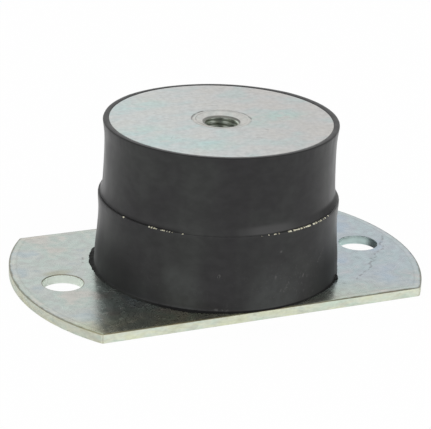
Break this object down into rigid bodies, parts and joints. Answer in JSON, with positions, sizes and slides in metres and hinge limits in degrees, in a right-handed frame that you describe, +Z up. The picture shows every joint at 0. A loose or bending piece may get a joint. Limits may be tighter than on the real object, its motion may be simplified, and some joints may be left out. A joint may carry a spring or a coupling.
{
  "type": "anti-vibration mount",
  "caption": "Round rubber anti-vibration mount bonded between a bolt-down plate with flats and a threaded steel disc, with a lip round its middle.",
  "frame": {"origin": "centre of the base plate's underside, on the mount's axis", "axes": "+Z up along the mount's axis, out of the thread; +X from one bolt hole to the other, along the plate's length"},
  "size_m": [0.18, 0.107, 0.07],
  "materials": {
    "plate_zinc": "bright zinc plate, satin, with faint rainbow blotches and fine scratches",
    "rubber": "black moulded rubber, satin",
    "interleaf_steel": "plain steel, bonded in rubber, bare only in flecks at its edge",
    "disc_zinc": "bright zinc plate, matt satin, with soft pale blotches",
    "bush_steel": "bright zinc plate, turned, oily in the thread"
  },
  "bodies": {
    "root": {"base_plate": "plate_zinc", "rubber_body": "rubber", "intermediate_plate": "interleaf_steel", "top_disc": "disc_zinc", "threaded_bush": "bush_steel"}
  },
  "joints": []
}
